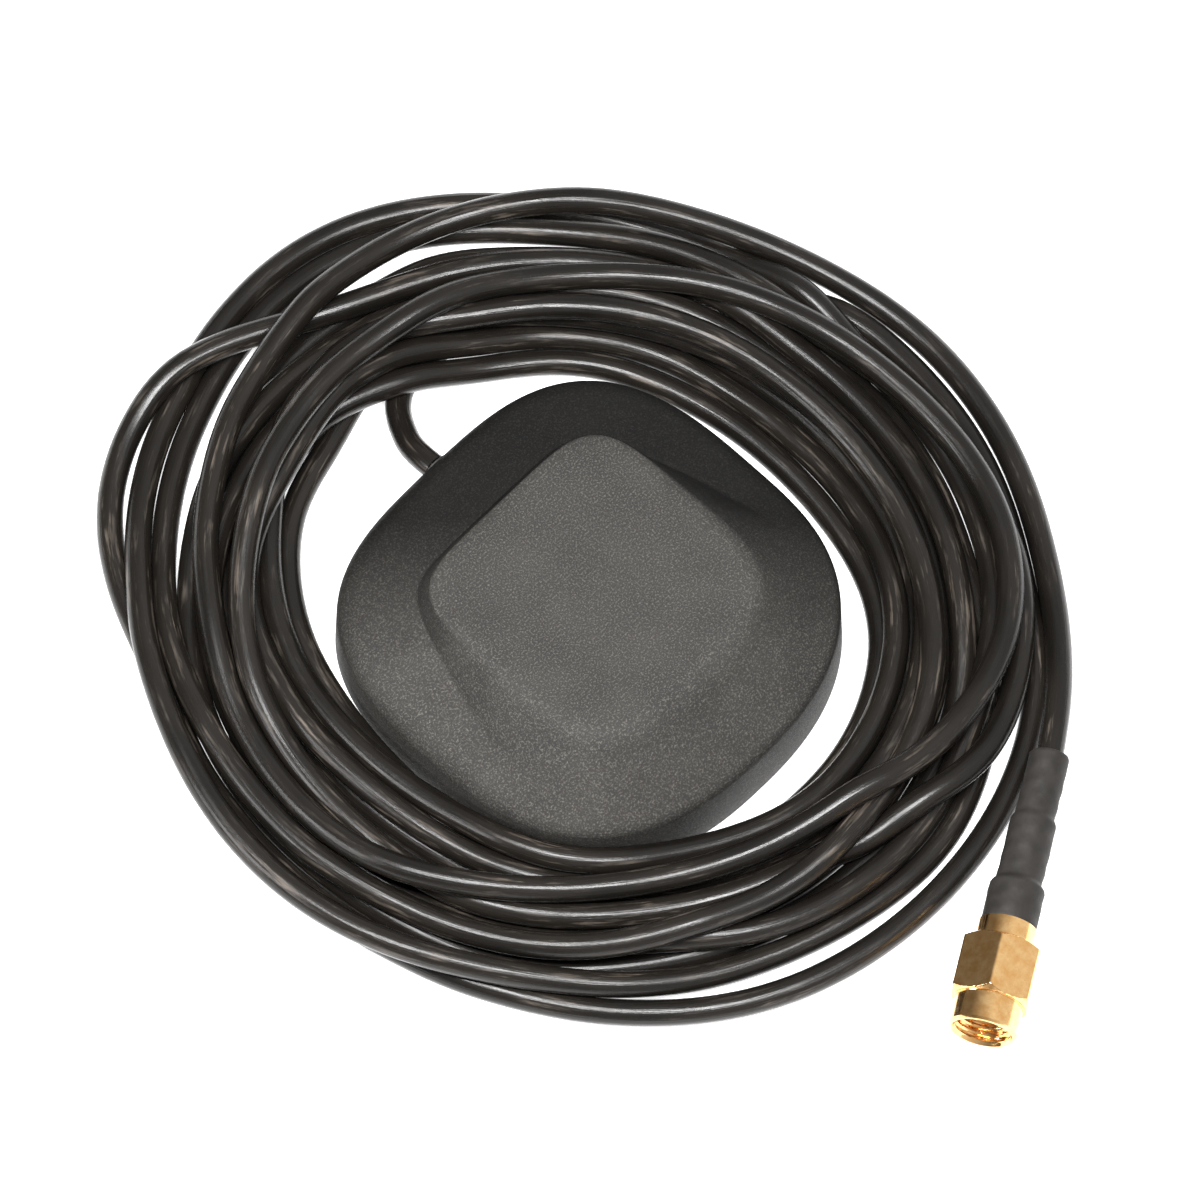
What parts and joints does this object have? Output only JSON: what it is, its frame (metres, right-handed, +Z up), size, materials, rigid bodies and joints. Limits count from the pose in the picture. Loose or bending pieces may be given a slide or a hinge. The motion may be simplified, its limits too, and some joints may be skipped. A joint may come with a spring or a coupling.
{
  "type": "gps antenna",
  "caption": "Black magnetic-base satellite antenna puck with a raised crown, a long thin coaxial lead wound round it and a gold threaded plug.",
  "frame": {"origin": "middle of the puck's underside, on the face of its foot pad", "axes": "+Z up from the surface it stands on, +Y towards the side that the lead leaves by, +X to the right seen from above with +Y ahead"},
  "size_m": [0.0948, 0.1154, 0.015],
  "materials": {
    "housing_plastic": "fine spark-eroded satin",
    "base_plastic": "plain moulded",
    "pad_film": "smooth thin foam film",
    "magnet_nickel": "nickel plated",
    "screw_steel": "zinc plated",
    "seal_rubber": "moulded rubber",
    "board_laminate": "green solder mask over glass laminate",
    "adhesive_sheet": "double-sided adhesive",
    "patch_ceramic": "fired dielectric ceramic",
    "silver_face": "screened silver",
    "pin_metal": "plated",
    "tin_plate": "tinned sheet",
    "filter_ceramic": "fired ceramic package",
    "chip_plastic": "moulded epoxy",
    "chip_ceramic": "fired ceramic chips",
    "solder": "reflowed solder",
    "cable_jacket": "extruded satin vinyl with light scuffs",
    "braid_copper": "woven tinned copper",
    "cable_core": "foamed white insulation",
    "wire_copper": "bare copper",
    "sleeve_plastic": "matte shrunk tubing",
    "gold_plate": "bright gold plate over brass",
    "plug_insulation": "white turned insulator",
    "spring_metal": "phosphor bronze, plated",
    "gasket_rubber": "moulded silicone"
  },
  "bodies": {
    "antenna": {"housing_cover": "housing_plastic", "base_plate": "base_plastic", "foot_pad": "pad_film", "magnet": "magnet_nickel", "base_screws": "screw_steel", "seal_ring": "seal_rubber", "circuit_board": "board_laminate", "patch_tape": "adhesive_sheet", "ceramic_patch": "patch_ceramic", "patch_silver": "silver_face", "feed_pin": "pin_metal", "shield_can": "tin_plate", "filter_block": "filter_ceramic", "amplifier_chips": "chip_plastic", "chip_parts": "chip_ceramic", "solder_joints": "solder", "cable_grommet": "seal_rubber", "lead_jacket": "cable_jacket", "lead_braid": "braid_copper", "lead_core": "cable_core", "lead_wire": "wire_copper", "cord_lead": "cable_jacket", "cord_coil": "cable_jacket", "cord_loop": "cable_jacket", "cord_tail": "cable_jacket", "heat_shrink": "sleeve_plastic", "crimp_ferrule": "gold_plate", "tail_braid": "braid_copper", "tail_core": "cable_core", "tail_wire": "wire_copper", "plug_body": "gold_plate", "plug_insulator": "plug_insulation", "plug_pin": "gold_plate", "snap_ring": "spring_metal", "plug_gasket": "gasket_rubber"},
    "nut": {"coupling_nut": "gold_plate"}
  },
  "joints": [
    {"name": "nut_turn", "type": "hinge", "parent": "antenna", "child": "nut", "pos_m": [-0.0054, -0.0606, 0.0047], "axis": [0.8572, 0.515, 0], "continuous": true}
  ]
}
